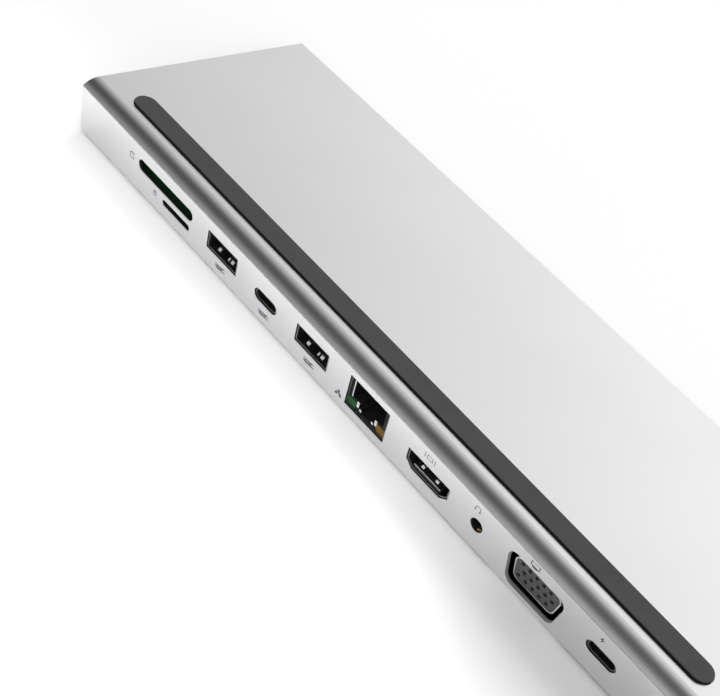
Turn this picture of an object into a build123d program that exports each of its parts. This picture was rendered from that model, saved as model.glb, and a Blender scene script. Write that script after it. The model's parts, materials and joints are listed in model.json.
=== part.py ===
"""Wedge-shaped laptop docking station: a sloping aluminium riser with its ports along the tall rear face.

Frame: X along the length, Y from the port face (low Y) to the thin front edge, Z up.
The origin is at mid-length and mid-depth, on the surface that the rubber feet stand on.
Depths are measured into the body from the port face, heights up from the base plate's underside.
"""
import os
from math import atan2, cos, pi, sin, sqrt

from build123d import *

# ---- case ----
LENGTH = 250.0
DEPTH = 84.0
REAR_HEIGHT = 18.5  # where the sloping top, carried on straight, would reach the port face
FRONT_HEIGHT = 3.2
CREST_RADIUS = 7.2
CREST_RUN = 5.45  # from the port face to where the crest meets the straight slope
NOSE_RADIUS = 0.8
ROOF = 1.5
END_WALL = 2.0
NOSE_SOLID = 12.0
NOSE_LIP = 3.0
BASE = 1.5
PANEL = 1.2
SEAM = 0.08
LIP_EDGE = 0.12
EDGE_BREAK = 0.12
RAIL_HEIGHT = 14.2
RAIL_DEPTH = 4.5
FOOT_HEIGHT = 1.0
FIT = 0.1
RIB_WIDTH = 1.2
RIB_DROP = 1.4
RIB_PITCH = 30.0

# ---- rubber ----
STRIP_WIDTH = 7.0
STRIP_MARGIN = 12.1
STRIP_START = 7.7
STRIP_RISE = 0.7
STRIP_SEAT = 0.6
STRIP_GAP = 0.2
FOOT_WIDTH = 7.0
FOOT_MARGIN = 14.0
FOOT_SEAT = 0.4
FOOT_INSET = 15.0
FRONT_FOOT_INSET = 16.5
FOOT_SCREW_GAP = 1.3  # between the corner screws' heads and the front foot

# ---- main board ----
BOARD = 1.0
BOARD_HEIGHT = 6.2
BOARD_DEPTH = 1.7
BOARD_HEADROOM = 0.9
BOARD_SIDE = 3.0
SD_RISE = 2.8  # from the board's top to the middle of the SD slot
TF_DROP = 1.05  # from the board's underside down to the middle of the microSD slot
NOTCH_GAP = 0.2

# ---- port places: distance from mid-length, height above the underside ----
SD_X, SD_Z = -82.7, BOARD_HEIGHT + BOARD + SD_RISE
TF_X, TF_Z = -76.9, BOARD_HEIGHT - TF_DROP
USB_A_XS, USB_A_Z = (-55.65, -16.1), 9.0
USB_C_XS, USB_C_Z = (-35.9, 91.9), 8.15
RJ45_X, RJ45_Z = 6.9, 8.16
HDMI_X, HDMI_Z = 30.85, 7.2
JACK_X, JACK_Z = 48.95, 7.95
VGA_X, VGA_Z = 69.3, 6.75

# ---- port sizes ----
CUT_GAP = 0.25
SD_SLOT = (26.1, 3.8)
SD_READER = (27.4, 27.6)
SD_READER_DEPTH = 3.5
SD_FLOOR_DROP = 1.7
SD_CARD_SPACE = 2.3
TF_SLOT = (12.8, 2.0)
TF_LEFT = 6.9
TF_RIGHT = 8.9
TF_LENGTH = 15.2
TF_READER_DEPTH = 1.5
USB_A_SIZE = (13.05, 5.75)
USB_A_LENGTH = 13.6
USB_C_SIZE = (9.1, 3.38)
USB_C_LENGTH = 7.6
RJ45_SIZE = (14.95, 10.45)
RJ45_LENGTH = 15.4
HDMI_SIZE = (15.1, 5.45)
HDMI_FOOT = 10.4
HDMI_SHOULDER = 1.8
HDMI_LENGTH = 11.2
JACK_BODY = (6.4, 5.0)
JACK_LENGTH = 13.0
JACK_BORE = 3.6
JACK_CUT = 4.15
JACK_NOSE = 0.7  # how far the socket's round nose stands into the panel
JACK_NOSE_GAP = 0.05
JACK_END = 1.0
VGA_SIZE = (16.3, 7.9)
VGA_CUT = (19.7, 11.2)
VGA_SLANT = 0.176  # the slanted side's run for each unit of rise
VGA_FLANGE = (22.0, 9.6)
VGA_BLOCK = (19.0, 9.0)
VGA_FLANGE_DEPTH = 6.0
VGA_LENGTH = 12.8
PIN_PITCH = 2.4
PIN_ROW = 2.25
PIN_HOLE = 1.2
SHEET = 0.3
PLATE = 0.2
SNUG = 0.03

# ---- network transformer ----
TRANSFORMER = (13.0, 9.0, 3.8)
TRANSFORMER_DEPTH = 23.5

# ---- microSD eject slider ----
SLIDER_TRAVEL = 4.2
SLIDER_GAP = 0.2
SLIDER_LENGTH = 6.0
SLIDER_STOP = 4.0
SPRING_WIRE = 0.16
SPRING_OD = 1.3
SPRING_TURNS = 7
SPRING_GAP = 0.03

# ---- screws ----
CASE_THREAD = 2.5
CASE_HEAD = 4.6
SMALL_THREAD = 2.0
SMALL_HEAD = 3.8
HEAD_DEPTH = 1.1
HEAD_SINK = 0.05
THREAD_GAP = 0.05
PILLAR = 5.4
SCREW_GRIP = 3.4
TIP_GAP = 0.3
PILLAR_DEPTH = 38.0
PILLAR_X = 62.0
CORNER_INSET = 8.0
LUG = (5.0, 5.0, 2.9)
STANDOFF = 4.2
MIDDLE_STANDOFF_XS = (-30.0, 36.0)

# ---- derived places ----
FACE_Y = -DEPTH / 2
NOSE_Y = DEPTH / 2
HALF = LENGTH / 2
SLOPE = (REAR_HEIGHT - FRONT_HEIGHT) / DEPTH
TILT = atan2(REAR_HEIGHT - FRONT_HEIGHT, DEPTH)


def level(height):
    """Row height of a height above the underside of the base plate."""
    return FOOT_HEIGHT + height


def roof(depth, inset=0.0):
    """Row height of the sloping top, or of the face that lies inset below it."""
    return level(REAR_HEIGHT - SLOPE * depth) - inset / cos(TILT)


def about(centre, half):
    """Range of one half-width to each side of a centre."""
    return (centre - half, centre + half)


CREST_Y = FACE_Y + CREST_RUN - CREST_RADIUS * sin(TILT)
CREST_Z = roof(CREST_RUN) - CREST_RADIUS * cos(TILT)
FACE_TOP = CREST_Z + sqrt(CREST_RADIUS**2 - (CREST_Y - FACE_Y) ** 2)
LIP_Z = FACE_TOP - LIP_EDGE
BASE_TOP = level(BASE)
BOARD_BOTTOM = level(BOARD_HEIGHT)
BOARD_TOP = BOARD_BOTTOM + BOARD
BOARD_FRONT = (roof(0, ROOF) - BOARD_TOP - BOARD_HEADROOM) / SLOPE
BOARD_LEFT = SD_X - SD_READER[0] / 2 - BOARD_SIDE
BOARD_RIGHT = USB_C_XS[1] + USB_C_SIZE[0] / 2 + BOARD_SIDE
CAVITY_END = DEPTH - NOSE_SOLID
INNER_HALF = HALF - END_WALL
CORNER_DEPTH = DEPTH - FRONT_FOOT_INSET - FOOT_WIDTH / 2 - FOOT_SCREW_GAP - CASE_HEAD / 2
LUG_DEPTH = PANEL + LUG[1] / 2
sd_half = SD_READER[0] / 2
sd_depths = (SD_READER_DEPTH, SD_READER_DEPTH + SD_READER[1])
sd_floor = level(SD_Z - SD_FLOOR_DROP)
sd_top = sd_floor + SD_CARD_SPACE
ROOF_RELIEFS = [  # where the roof's underside gives way to the tallest pieces on the board
    (about(SD_X, sd_half + FIT), sd_depths, sd_top + PLATE + FIT),
    (
        about(RJ45_X, TRANSFORMER[0] / 2 + FIT),
        about(TRANSFORMER_DEPTH, TRANSFORMER[1] / 2 + FIT),
        BOARD_TOP + TRANSFORMER[2] + FIT,
    ),
]
PILLARS = [
    (-PILLAR_X, PILLAR_DEPTH),
    (PILLAR_X, PILLAR_DEPTH),
    (-HALF + CORNER_INSET, CORNER_DEPTH),
    (HALF - CORNER_INSET, CORNER_DEPTH),
    (0.0, CORNER_DEPTH),
]
LUG_XS = [
    SD_X - SD_SLOT[0] / 2 + LUG[0] / 2,
    (USB_A_XS[0] + USB_C_XS[0]) / 2,
    (RJ45_X + HDMI_X) / 2,
    (JACK_X + JACK_BODY[0] / 2 + VGA_X - VGA_FLANGE[0] / 2) / 2,
    USB_C_XS[1] + LUG[0] / 2,
]
LUGS = [(x, LUG_DEPTH) for x in LUG_XS]
STANDOFF_XS = (BOARD_LEFT + STANDOFF, *MIDDLE_STANDOFF_XS, BOARD_RIGHT - STANDOFF)
STANDOFFS = [(x, BOARD_FRONT - STANDOFF) for x in STANDOFF_XS]


# ---- helpers ----
def face_plane(depth):
    """Plane across the body at a depth, facing out of the port face, with +X right and +Z up."""
    return Plane(origin=(0, FACE_Y + depth, 0), x_dir=(1, 0, 0), z_dir=(0, -1, 0))


def block(xs, depths, zs, mode=Mode.ADD):
    """Box between two x values, two depths and two row heights."""
    centre = ((xs[0] + xs[1]) / 2, FACE_Y + (depths[0] + depths[1]) / 2, (zs[0] + zs[1]) / 2)
    with Locations(centre):
        Box(xs[1] - xs[0], depths[1] - depths[0], zs[1] - zs[0], mode=mode)


def prism(outline, x, height, depths, mode=Mode.ADD):
    """Push an outline, centred at x and height, through the body between two depths."""
    with BuildSketch(face_plane(depths[0])) as section:
        with Locations((x, level(height))):
            add(outline)
    extrude(section.sketch, amount=depths[0] - depths[1], mode=mode)


def cut_size(size):
    """Size of the panel opening that a connector of the given size stands in."""
    return (size[0] + 2 * CUT_GAP, size[1] + 2 * CUT_GAP)


def rounded(width, height, radius):
    with BuildSketch() as outline:
        RectangleRounded(width, height, radius)
    return outline.sketch


def obround(width, height):
    with BuildSketch() as outline:
        SlotOverall(width, height)
    return outline.sketch


def hdmi_outline(grow=0.0):
    """Six-sided HDMI outline, wide side up, grown by a gap all round."""
    top = HDMI_SIZE[1] / 2 + grow
    half = HDMI_SIZE[0] / 2 + grow
    foot = HDMI_FOOT / 2 + grow / 2
    shoulder = -HDMI_SIZE[1] / 2 + HDMI_SHOULDER - grow / 2
    with BuildSketch() as outline:
        with BuildLine():
            Polyline(
                (-half, top),
                (-half, shoulder),
                (-foot, -top),
                (foot, -top),
                (half, shoulder),
                (half, top),
                close=True,
            )
        make_face()
        fillet(outline.vertices(), 0.35)
    return outline.sketch


def d_outline(width, height, radius):
    """D-subminiature outline, wide side up."""
    half = width / 2
    drop = height * VGA_SLANT
    with BuildSketch() as outline:
        with BuildLine():
            Polyline(
                (-half, height / 2),
                (-half + drop, -height / 2),
                (half - drop, -height / 2),
                (half, height / 2),
                close=True,
            )
        make_face()
        fillet(outline.vertices(), radius)
    return outline.sketch


def circle_outline(diameter):
    with BuildSketch() as outline:
        Circle(diameter / 2)
    return outline.sketch


def stadium(margin, start, width, lift, thickness, mode=Mode.ADD):
    """Obround strip along the length, lying on the horizontal at a row height."""
    with BuildSketch(Plane.XY.offset(lift)) as section:
        with Locations((0, FACE_Y + start + width / 2)):
            SlotOverall(LENGTH - 2 * margin, width)
    extrude(section.sketch, amount=thickness, mode=mode)


def slope_plane(depth, rise):
    """Plane lying on the sloping top at a depth, lifted square to it by rise."""
    normal = (0, sin(TILT), cos(TILT))
    lifted = (0, FACE_Y + depth + rise * sin(TILT), roof(depth) + rise * cos(TILT))
    return Plane(origin=lifted, x_dir=(1, 0, 0), z_dir=normal)


def flat_screws(places, thread, head, tip):
    """Countersunk screws driven up from the underside, one at each (x, depth)."""
    with BuildPart() as screws:
        with Locations([(x, FACE_Y + depth, 0) for x, depth in places]):
            with Locations((0, 0, level(HEAD_SINK + HEAD_DEPTH / 2))):
                Cone(head / 2, thread / 2, HEAD_DEPTH)
            with Locations((0, 0, (level(HEAD_SINK) + HEAD_DEPTH + tip) / 2)):
                Cylinder(thread / 2, tip - level(HEAD_SINK) - HEAD_DEPTH)
            with Locations((0, 0, level(HEAD_SINK) + HEAD_DEPTH / 4)):
                Box(head / 2, head / 9, HEAD_DEPTH / 2, mode=Mode.SUBTRACT)
                Box(head / 9, head / 2, HEAD_DEPTH / 2, mode=Mode.SUBTRACT)
    return screws.part


def finish(part, name):
    part.label = name
    export_step(part, f"parts/{name}.step")


os.makedirs("parts", exist_ok=True)

# ================= case =================
def crest_point(angle):
    return (CREST_Y + CREST_RADIUS * cos(angle), CREST_Z + CREST_RADIUS * sin(angle))


crest_start = atan2(FACE_TOP - CREST_Z, FACE_Y - CREST_Y)
crest_end = pi / 2 - TILT
crest_middle = (crest_start + crest_end) / 2

with BuildPart() as top_shell:
    with BuildSketch(Plane.YZ):
        with BuildLine():
            ThreePointArc(crest_point(crest_start), crest_point(crest_middle), crest_point(crest_end))
            Polyline(
                crest_point(crest_end),
                (NOSE_Y, roof(DEPTH)),
                (NOSE_Y, level(0)),
                (FACE_Y, level(0)),
                crest_point(crest_start),
            )
        make_face()
    extrude(amount=HALF, both=True)
    nose_edge = top_shell.edges().filter_by(Axis.X).group_by(Axis.Y)[-1].sort_by(Axis.Z)[-1]
    fillet(nose_edge, NOSE_RADIUS)
    with BuildSketch(Plane.YZ):
        with BuildLine():
            Polyline(
                (FACE_Y + PANEL, level(0)),
                (FACE_Y + PANEL, level(RAIL_HEIGHT)),
                (FACE_Y + RAIL_DEPTH, level(RAIL_HEIGHT)),
                (FACE_Y + RAIL_DEPTH, roof(RAIL_DEPTH, ROOF)),
                (FACE_Y + CAVITY_END, roof(CAVITY_END, ROOF)),
                (FACE_Y + CAVITY_END, BASE_TOP),
                (NOSE_Y - NOSE_LIP, BASE_TOP),
                (NOSE_Y - NOSE_LIP, level(0)),
                close=True,
            )
        make_face()
    extrude(amount=INNER_HALF, both=True, mode=Mode.SUBTRACT)
    block(about(0, HALF), (0, PANEL), (level(0), LIP_Z), mode=Mode.SUBTRACT)
    with BuildSketch(slope_plane(STRIP_START + STRIP_WIDTH / 2, 0)):
        SlotOverall(LENGTH - 2 * (STRIP_MARGIN - STRIP_GAP), STRIP_WIDTH + 2 * STRIP_GAP)
    extrude(amount=-STRIP_SEAT, mode=Mode.SUBTRACT)
    for x, depth in PILLARS:
        with Locations((x, FACE_Y + depth, (BASE_TOP + roof(depth, ROOF / 2)) / 2)):
            Cylinder(PILLAR / 2, roof(depth, ROOF / 2) - BASE_TOP)
        with Locations((x, FACE_Y + depth, BASE_TOP + SCREW_GRIP / 2)):
            Cylinder(CASE_THREAD / 2 + THREAD_GAP, SCREW_GRIP, mode=Mode.SUBTRACT)
    for column in (-3, -2, -1, 1, 2, 3):
        with BuildSketch(Plane.YZ.offset(column * RIB_PITCH)):
            with BuildLine():
                Polyline(
                    (FACE_Y + BOARD_FRONT + FIT, roof(BOARD_FRONT + FIT, ROOF / 2)),
                    (FACE_Y + BOARD_FRONT + FIT, roof(BOARD_FRONT + FIT, ROOF + RIB_DROP)),
                    (FACE_Y + CAVITY_END, roof(CAVITY_END, ROOF + RIB_DROP)),
                    (FACE_Y + CAVITY_END, roof(CAVITY_END, ROOF / 2)),
                    close=True,
                )
            make_face()
        extrude(amount=RIB_WIDTH / 2, both=True)
    for xs, depths, top in ROOF_RELIEFS:
        block(xs, depths, (BOARD_TOP, top), Mode.SUBTRACT)
finish(top_shell.part, "top_shell")

with BuildPart() as grip_strip:
    with BuildSketch(slope_plane(STRIP_START + STRIP_WIDTH / 2, -STRIP_SEAT)):
        SlotOverall(LENGTH - 2 * STRIP_MARGIN, STRIP_WIDTH)
    extrude(amount=STRIP_SEAT + STRIP_RISE)
    fillet(grip_strip.faces().sort_by(Axis.Z)[-1].edges(), 0.2)
finish(grip_strip.part, "grip_strip")

with BuildPart() as port_panel:
    block(about(0, HALF), (0, PANEL), (level(0), LIP_Z - SEAM))
    for x in LUG_XS:
        block(about(x, LUG[0] / 2), (PANEL, PANEL + LUG[1]), (BASE_TOP, BASE_TOP + LUG[2]))
        with Locations((x, FACE_Y + LUG_DEPTH, BASE_TOP + LUG[2] / 2)):
            Cylinder(SMALL_THREAD / 2 + THREAD_GAP, LUG[2], mode=Mode.SUBTRACT)
    through = (-1.0, PANEL)
    prism(obround(*SD_SLOT), SD_X, SD_Z, through, Mode.SUBTRACT)
    prism(obround(*TF_SLOT), TF_X, TF_Z, through, Mode.SUBTRACT)
    for x in USB_A_XS:
        prism(rounded(*cut_size(USB_A_SIZE), 0.4), x, USB_A_Z, through, Mode.SUBTRACT)
    for x in USB_C_XS:
        prism(obround(*cut_size(USB_C_SIZE)), x, USB_C_Z, through, Mode.SUBTRACT)
    prism(rounded(*cut_size(RJ45_SIZE), 0.2), RJ45_X, RJ45_Z, through, Mode.SUBTRACT)
    prism(hdmi_outline(CUT_GAP), HDMI_X, HDMI_Z, through, Mode.SUBTRACT)
    prism(circle_outline(JACK_CUT), JACK_X, JACK_Z, through, Mode.SUBTRACT)
    prism(d_outline(*VGA_CUT, 2.6), VGA_X, VGA_Z, through, Mode.SUBTRACT)
    chamfer(port_panel.faces().sort_by(Axis.Y)[0].edges(), EDGE_BREAK)
finish(port_panel.part, "port_panel")

FEET = (
    ("rear_foot", FOOT_INSET - FOOT_WIDTH / 2),
    ("front_foot", DEPTH - FRONT_FOOT_INSET - FOOT_WIDTH / 2),
)

with BuildPart() as base_plate:
    block(about(0, INNER_HALF - FIT), (PANEL, DEPTH - NOSE_LIP - FIT), (level(0), BASE_TOP))
    for _, start in FEET:
        stadium(FOOT_MARGIN, start, FOOT_WIDTH, level(0), FOOT_SEAT, Mode.SUBTRACT)
    for places, thread, head in ((PILLARS, CASE_THREAD, CASE_HEAD), (LUGS, SMALL_THREAD, SMALL_HEAD)):
        with Locations([(x, FACE_Y + depth, level(0)) for x, depth in places]):
            with Locations((0, 0, BASE / 2)):
                Cylinder(thread / 2 + THREAD_GAP, BASE, mode=Mode.SUBTRACT)
            with Locations((0, 0, HEAD_SINK + HEAD_DEPTH / 2)):
                Cone(head / 2 + THREAD_GAP, thread / 2 + THREAD_GAP, HEAD_DEPTH, mode=Mode.SUBTRACT)
            with Locations((0, 0, HEAD_SINK / 2)):
                Cylinder(head / 2 + THREAD_GAP, HEAD_SINK, mode=Mode.SUBTRACT)
finish(base_plate.part, "base_plate")

for name, start in FEET:
    with BuildPart() as foot:
        stadium(FOOT_MARGIN, start, FOOT_WIDTH, 0, FOOT_HEIGHT + FOOT_SEAT)
        fillet(foot.faces().sort_by(Axis.Z)[0].edges(), 0.2)
    finish(foot.part, name)

finish(flat_screws(PILLARS, CASE_THREAD, CASE_HEAD, BASE_TOP + SCREW_GRIP - TIP_GAP), "case_screws")
finish(flat_screws(LUGS, SMALL_THREAD, SMALL_HEAD, BASE_TOP + LUG[2] - TIP_GAP), "panel_screws")

# ================= main board =================
NOTCHES = (
    [(x, USB_A_SIZE[0], USB_A_LENGTH + 0.4) for x in USB_A_XS]
    + [(x, USB_C_SIZE[0], USB_C_LENGTH + 0.5) for x in USB_C_XS]
    + [
        (RJ45_X, RJ45_SIZE[0], RJ45_LENGTH + 0.5),
        (HDMI_X, HDMI_SIZE[0], HDMI_LENGTH + 0.4),
        (JACK_X, JACK_BODY[0], JACK_LENGTH + PANEL),
        (VGA_X, VGA_FLANGE[0], VGA_LENGTH),
    ]
)

with BuildPart() as main_board:
    block((BOARD_LEFT, BOARD_RIGHT), (BOARD_DEPTH, BOARD_FRONT), (BOARD_BOTTOM, BOARD_TOP))
    for x, width, reach in NOTCHES:
        notch = about(x, width / 2 + NOTCH_GAP)
        block(notch, (0, reach + NOTCH_GAP), (BOARD_BOTTOM, BOARD_TOP), Mode.SUBTRACT)
    for x, depth in PILLARS:
        with Locations((x, FACE_Y + depth, (BOARD_BOTTOM + BOARD_TOP) / 2)):
            Cylinder(PILLAR / 2 + NOTCH_GAP, BOARD, mode=Mode.SUBTRACT)
    for x, depth in STANDOFFS:
        with Locations((x, FACE_Y + depth, (BOARD_BOTTOM + BOARD_TOP) / 2)):
            Cylinder(SMALL_THREAD / 2 + NOTCH_GAP, BOARD, mode=Mode.SUBTRACT)
finish(main_board.part, "main_board")

with BuildPart() as standoffs:
    with Locations([(x, FACE_Y + depth, (BASE_TOP + BOARD_BOTTOM) / 2) for x, depth in STANDOFFS]):
        Cylinder(STANDOFF / 2, BOARD_BOTTOM - BASE_TOP)
        Cylinder(SMALL_THREAD / 2 + THREAD_GAP, BOARD_BOTTOM - BASE_TOP, mode=Mode.SUBTRACT)
finish(standoffs.part, "standoffs")

with BuildPart() as board_screws:
    with Locations([(x, FACE_Y + depth, 0) for x, depth in STANDOFFS]):
        with Locations((0, 0, BOARD_TOP + 0.4)):
            Cylinder(SMALL_HEAD / 2, 0.8)
        with Locations((0, 0, BOARD_TOP - 1.5)):
            Cylinder(SMALL_THREAD / 2, 3.0)
        with Locations((0, 0, BOARD_TOP + 0.6)):
            Box(SMALL_HEAD / 2, 0.45, 0.4, mode=Mode.SUBTRACT)
            Box(0.45, SMALL_HEAD / 2, 0.4, mode=Mode.SUBTRACT)
finish(board_screws.part, "board_screws")


def chip(size, height, x, depth):
    """Square chip package on the board with a small pin-one dimple."""
    with BuildPart() as package:
        block(about(x, size / 2), about(depth, size / 2), (BOARD_TOP, BOARD_TOP + height))
        chamfer(package.faces().sort_by(Axis.Z)[-1].edges(), 0.12)
        with Locations((x - size / 2 + 0.9, FACE_Y + depth + size / 2 - 0.9, BOARD_TOP + height)):
            Cylinder(0.3, 0.1, mode=Mode.SUBTRACT)
    return package.part


HUB_X, HUB_DEPTH, HUB_SIZE, CHIP_HEIGHT = -30.0, 26.0, 10.0, 0.9
VIDEO_X, VIDEO_DEPTH = 42.0, 24.0
POWER_X, POWER_DEPTH = 86.0, 22.0
NETWORK_DEPTH = 36.0
finish(chip(HUB_SIZE, CHIP_HEIGHT, HUB_X, HUB_DEPTH), "hub_chip")
finish(chip(8.0, CHIP_HEIGHT, VIDEO_X, VIDEO_DEPTH), "video_chip")
finish(chip(6.0, CHIP_HEIGHT, RJ45_X, NETWORK_DEPTH), "network_chip")
finish(chip(5.0, CHIP_HEIGHT, POWER_X, POWER_DEPTH), "power_chip")

with BuildPart() as thermal_pad:
    with BuildSketch(Plane.YZ.offset(HUB_X)):
        with BuildLine():
            Polyline(
                (FACE_Y + HUB_DEPTH - HUB_SIZE / 2 + 0.5, BOARD_TOP + CHIP_HEIGHT),
                (FACE_Y + HUB_DEPTH - HUB_SIZE / 2 + 0.5, roof(HUB_DEPTH - HUB_SIZE / 2 + 0.5, ROOF)),
                (FACE_Y + HUB_DEPTH + HUB_SIZE / 2 - 0.5, roof(HUB_DEPTH + HUB_SIZE / 2 - 0.5, ROOF)),
                (FACE_Y + HUB_DEPTH + HUB_SIZE / 2 - 0.5, BOARD_TOP + CHIP_HEIGHT),
                close=True,
            )
        make_face()
    extrude(amount=HUB_SIZE / 2 - 0.5, both=True)
finish(thermal_pad.part, "thermal_pad")

TRANSFORMER_LIFT = 0.2
LEAD = (0.4, 1.0, 0.6)
with BuildPart() as network_transformer:
    package = (BOARD_TOP + TRANSFORMER_LIFT, BOARD_TOP + TRANSFORMER[2])
    block(about(RJ45_X, TRANSFORMER[0] / 2), about(TRANSFORMER_DEPTH, TRANSFORMER[1] / 2), package)
    chamfer(network_transformer.faces().sort_by(Axis.Z)[-1].edges(), 0.25)
    lead_zs = (BOARD_TOP, BOARD_TOP + LEAD[2])
    for side in (-1, 1):
        lead_depth = TRANSFORMER_DEPTH + side * (TRANSFORMER[1] + LEAD[1]) / 2
        for pin in range(12):
            block(about(RJ45_X + pin - 5.5, LEAD[0] / 2), about(lead_depth, LEAD[1] / 2), lead_zs)
finish(network_transformer.part, "network_transformer")

with BuildPart() as crystals:
    for x, depth in ((HUB_X + 9.0, 27.0), (VIDEO_X + 8.0, 26.0), (RJ45_X + 7.5, 36.0)):
        block(about(x, 1.6), about(depth, 1.25), (BOARD_TOP, BOARD_TOP + 0.8))
finish(crystals.part, "crystals")

CAPACITOR, CAPACITOR_HEIGHT, CAPACITOR_DEPTH = 5.0, 4.3, 19.0
CAPACITOR_XS = (-62.0, -51.0, 60.0, 67.5, 75.0)
with BuildPart() as capacitors:
    can_z = BOARD_TOP + CAPACITOR_HEIGHT / 2
    with Locations([(x, FACE_Y + CAPACITOR_DEPTH, can_z) for x in CAPACITOR_XS]):
        Cylinder(CAPACITOR / 2, CAPACITOR_HEIGHT)
    fillet(capacitors.edges().filter_by(GeomType.CIRCLE).group_by(Axis.Z)[-1], 0.3)
finish(capacitors.part, "capacitors")

with BuildPart() as inductors:
    for x in (POWER_X - 8.0, POWER_X + 8.0):
        block(about(x, 2.5), about(POWER_DEPTH + 6.0, 2.5), (BOARD_TOP, BOARD_TOP + 2.6))
    chamfer(inductors.edges().filter_by(Axis.Z), 0.5)
finish(inductors.part, "inductors")

with BuildPart() as small_parts:
    rows = (
        (HUB_X - 12.0, 34.0, 14),
        (VIDEO_X - 10.0, 31.0, 10),
        (POWER_X - 6.0, 32.0, 7),
        (RJ45_X - 16.0, 32.0, 6),
    )
    for x0, depth, count in rows:
        for index in range(count):
            block(about(x0 + index * 1.8, 0.3), about(depth, 0.5), (BOARD_TOP, BOARD_TOP + 0.45))
finish(small_parts.part, "small_parts")

# ================= SD reader, on top of the board =================
sd_inner = (sd_depths[0], sd_depths[1] - PLATE)
SD_WALL = 1.1
SD_WELL = 0.5
SD_WELL_START = 17.0
SD_WELL_LENGTH = 8.0
SD_WELL_WIDTH = 19.0
SD_CONTACT = 0.8
SD_CONTACT_PITCH = 2.1
sd_well = (sd_depths[0] + SD_WELL_START, sd_depths[0] + SD_WELL_START + SD_WELL_LENGTH)
with BuildPart() as sd_base:
    block(about(SD_X, sd_half - PLATE), sd_inner, (BOARD_TOP, sd_floor))
    for side in (-1, 1):
        rail_x = SD_X + side * (sd_half - PLATE - SD_WALL / 2)
        block(about(rail_x, SD_WALL / 2), sd_inner, (sd_floor, sd_top))
    block(about(SD_X, sd_half - PLATE), (sd_inner[1] - SD_WALL, sd_inner[1]), (sd_floor, sd_top))
    block(about(SD_X, SD_WELL_WIDTH / 2), sd_well, (sd_floor - SD_WELL, sd_floor), Mode.SUBTRACT)
finish(sd_base.part, "sd_base")

with BuildPart() as sd_shell:
    block(about(SD_X, sd_half), sd_depths, (sd_top, sd_top + PLATE))
    for side in (-1, 1):
        block(about(SD_X + side * (sd_half - PLATE / 2), PLATE / 2), sd_depths, (BOARD_TOP, sd_top + PLATE))
    block(about(SD_X, sd_half), (sd_depths[1] - PLATE, sd_depths[1]), (BOARD_TOP, sd_top + PLATE))
    with Locations([(SD_X + dx, FACE_Y + SD_READER_DEPTH + 12.0, sd_top + PLATE / 2) for dx in (-6.5, 6.5)]):
        Box(3.0, 7.0, PLATE, mode=Mode.SUBTRACT)
finish(sd_shell.part, "sd_shell")

with BuildPart() as sd_contacts:
    for index in range(9):
        contact_x = SD_X + (index - 4) * SD_CONTACT_PITCH
        contact_zs = (sd_floor - SD_WELL, sd_floor - SD_WELL / 2)
        block(about(contact_x, SD_CONTACT / 2), (sd_well[0] + 1, sd_well[1] - 1), contact_zs)
finish(sd_contacts.part, "sd_contacts")

# ================= microSD reader, under the board =================
tf_left = TF_X - TF_LEFT
tf_right = TF_X + TF_RIGHT
tf_depths = (TF_READER_DEPTH, TF_READER_DEPTH + TF_LENGTH)
tf_floor = level(TF_Z - 1.2)
tf_ceiling = level(TF_Z + 0.6)
channel = (TF_X + 6.2, tf_right - PLATE - 0.3)
channel_rear = tf_depths[1] - PLATE - 0.8
slider_zs = (tf_floor + SLIDER_GAP, tf_ceiling - SLIDER_GAP)
slider_rear = SLIDER_STOP + SLIDER_LENGTH

with BuildPart() as tf_shell:
    block((tf_left, tf_right), tf_depths, (tf_floor - PLATE, tf_floor))
    for edge in (tf_left + PLATE / 2, tf_right - PLATE / 2):
        block(about(edge, PLATE / 2), tf_depths, (tf_floor - PLATE, BOARD_BOTTOM))
    block((tf_left, tf_right), (tf_depths[1] - PLATE, tf_depths[1]), (tf_floor - PLATE, BOARD_BOTTOM))
finish(tf_shell.part, "tf_shell")

with BuildPart() as tf_base:
    inner = (tf_left + PLATE, tf_right - PLATE)
    block(inner, (tf_depths[0], tf_depths[1] - PLATE), (tf_ceiling, BOARD_BOTTOM))
    block((inner[0], TF_X - 5.75), (tf_depths[0], tf_depths[1] - PLATE), (tf_floor, tf_ceiling))
    block((channel[1], inner[1]), (tf_depths[0], tf_depths[1] - PLATE), (tf_floor, tf_ceiling))
    block(inner, (channel_rear, tf_depths[1] - PLATE), (tf_floor, tf_ceiling))
    block((TF_X + 5.75, inner[1]), (tf_depths[0], SLIDER_STOP - SLIDER_GAP), (tf_floor, tf_ceiling))
finish(tf_base.part, "tf_base")

with BuildPart() as tf_contacts:
    for index in range(8):
        contact_x = TF_X + (index - 4) * 1.1
        reach = (tf_depths[0] + 8.0, tf_depths[0] + 12.0)
        block(about(contact_x, 0.25), reach, (tf_ceiling - 0.12, tf_ceiling))
finish(tf_contacts.part, "tf_contacts")

with BuildPart() as tf_slider:
    block((channel[0] + SLIDER_GAP, channel[1] - SLIDER_GAP), (SLIDER_STOP, slider_rear), slider_zs)
    with BuildSketch(Plane.XY.offset(slider_zs[0])):
        with BuildLine():
            Polyline(
                (channel[0] + SLIDER_GAP, FACE_Y + slider_rear - 2.6),
                (TF_X + 3.8, FACE_Y + slider_rear - 1.2),
                (TF_X + 3.8, FACE_Y + slider_rear),
                (channel[0] + SLIDER_GAP, FACE_Y + slider_rear),
                close=True,
            )
        make_face()
    extrude(amount=slider_zs[1] - slider_zs[0] - 0.1)
finish(tf_slider.part, "tf_slider")

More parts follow.
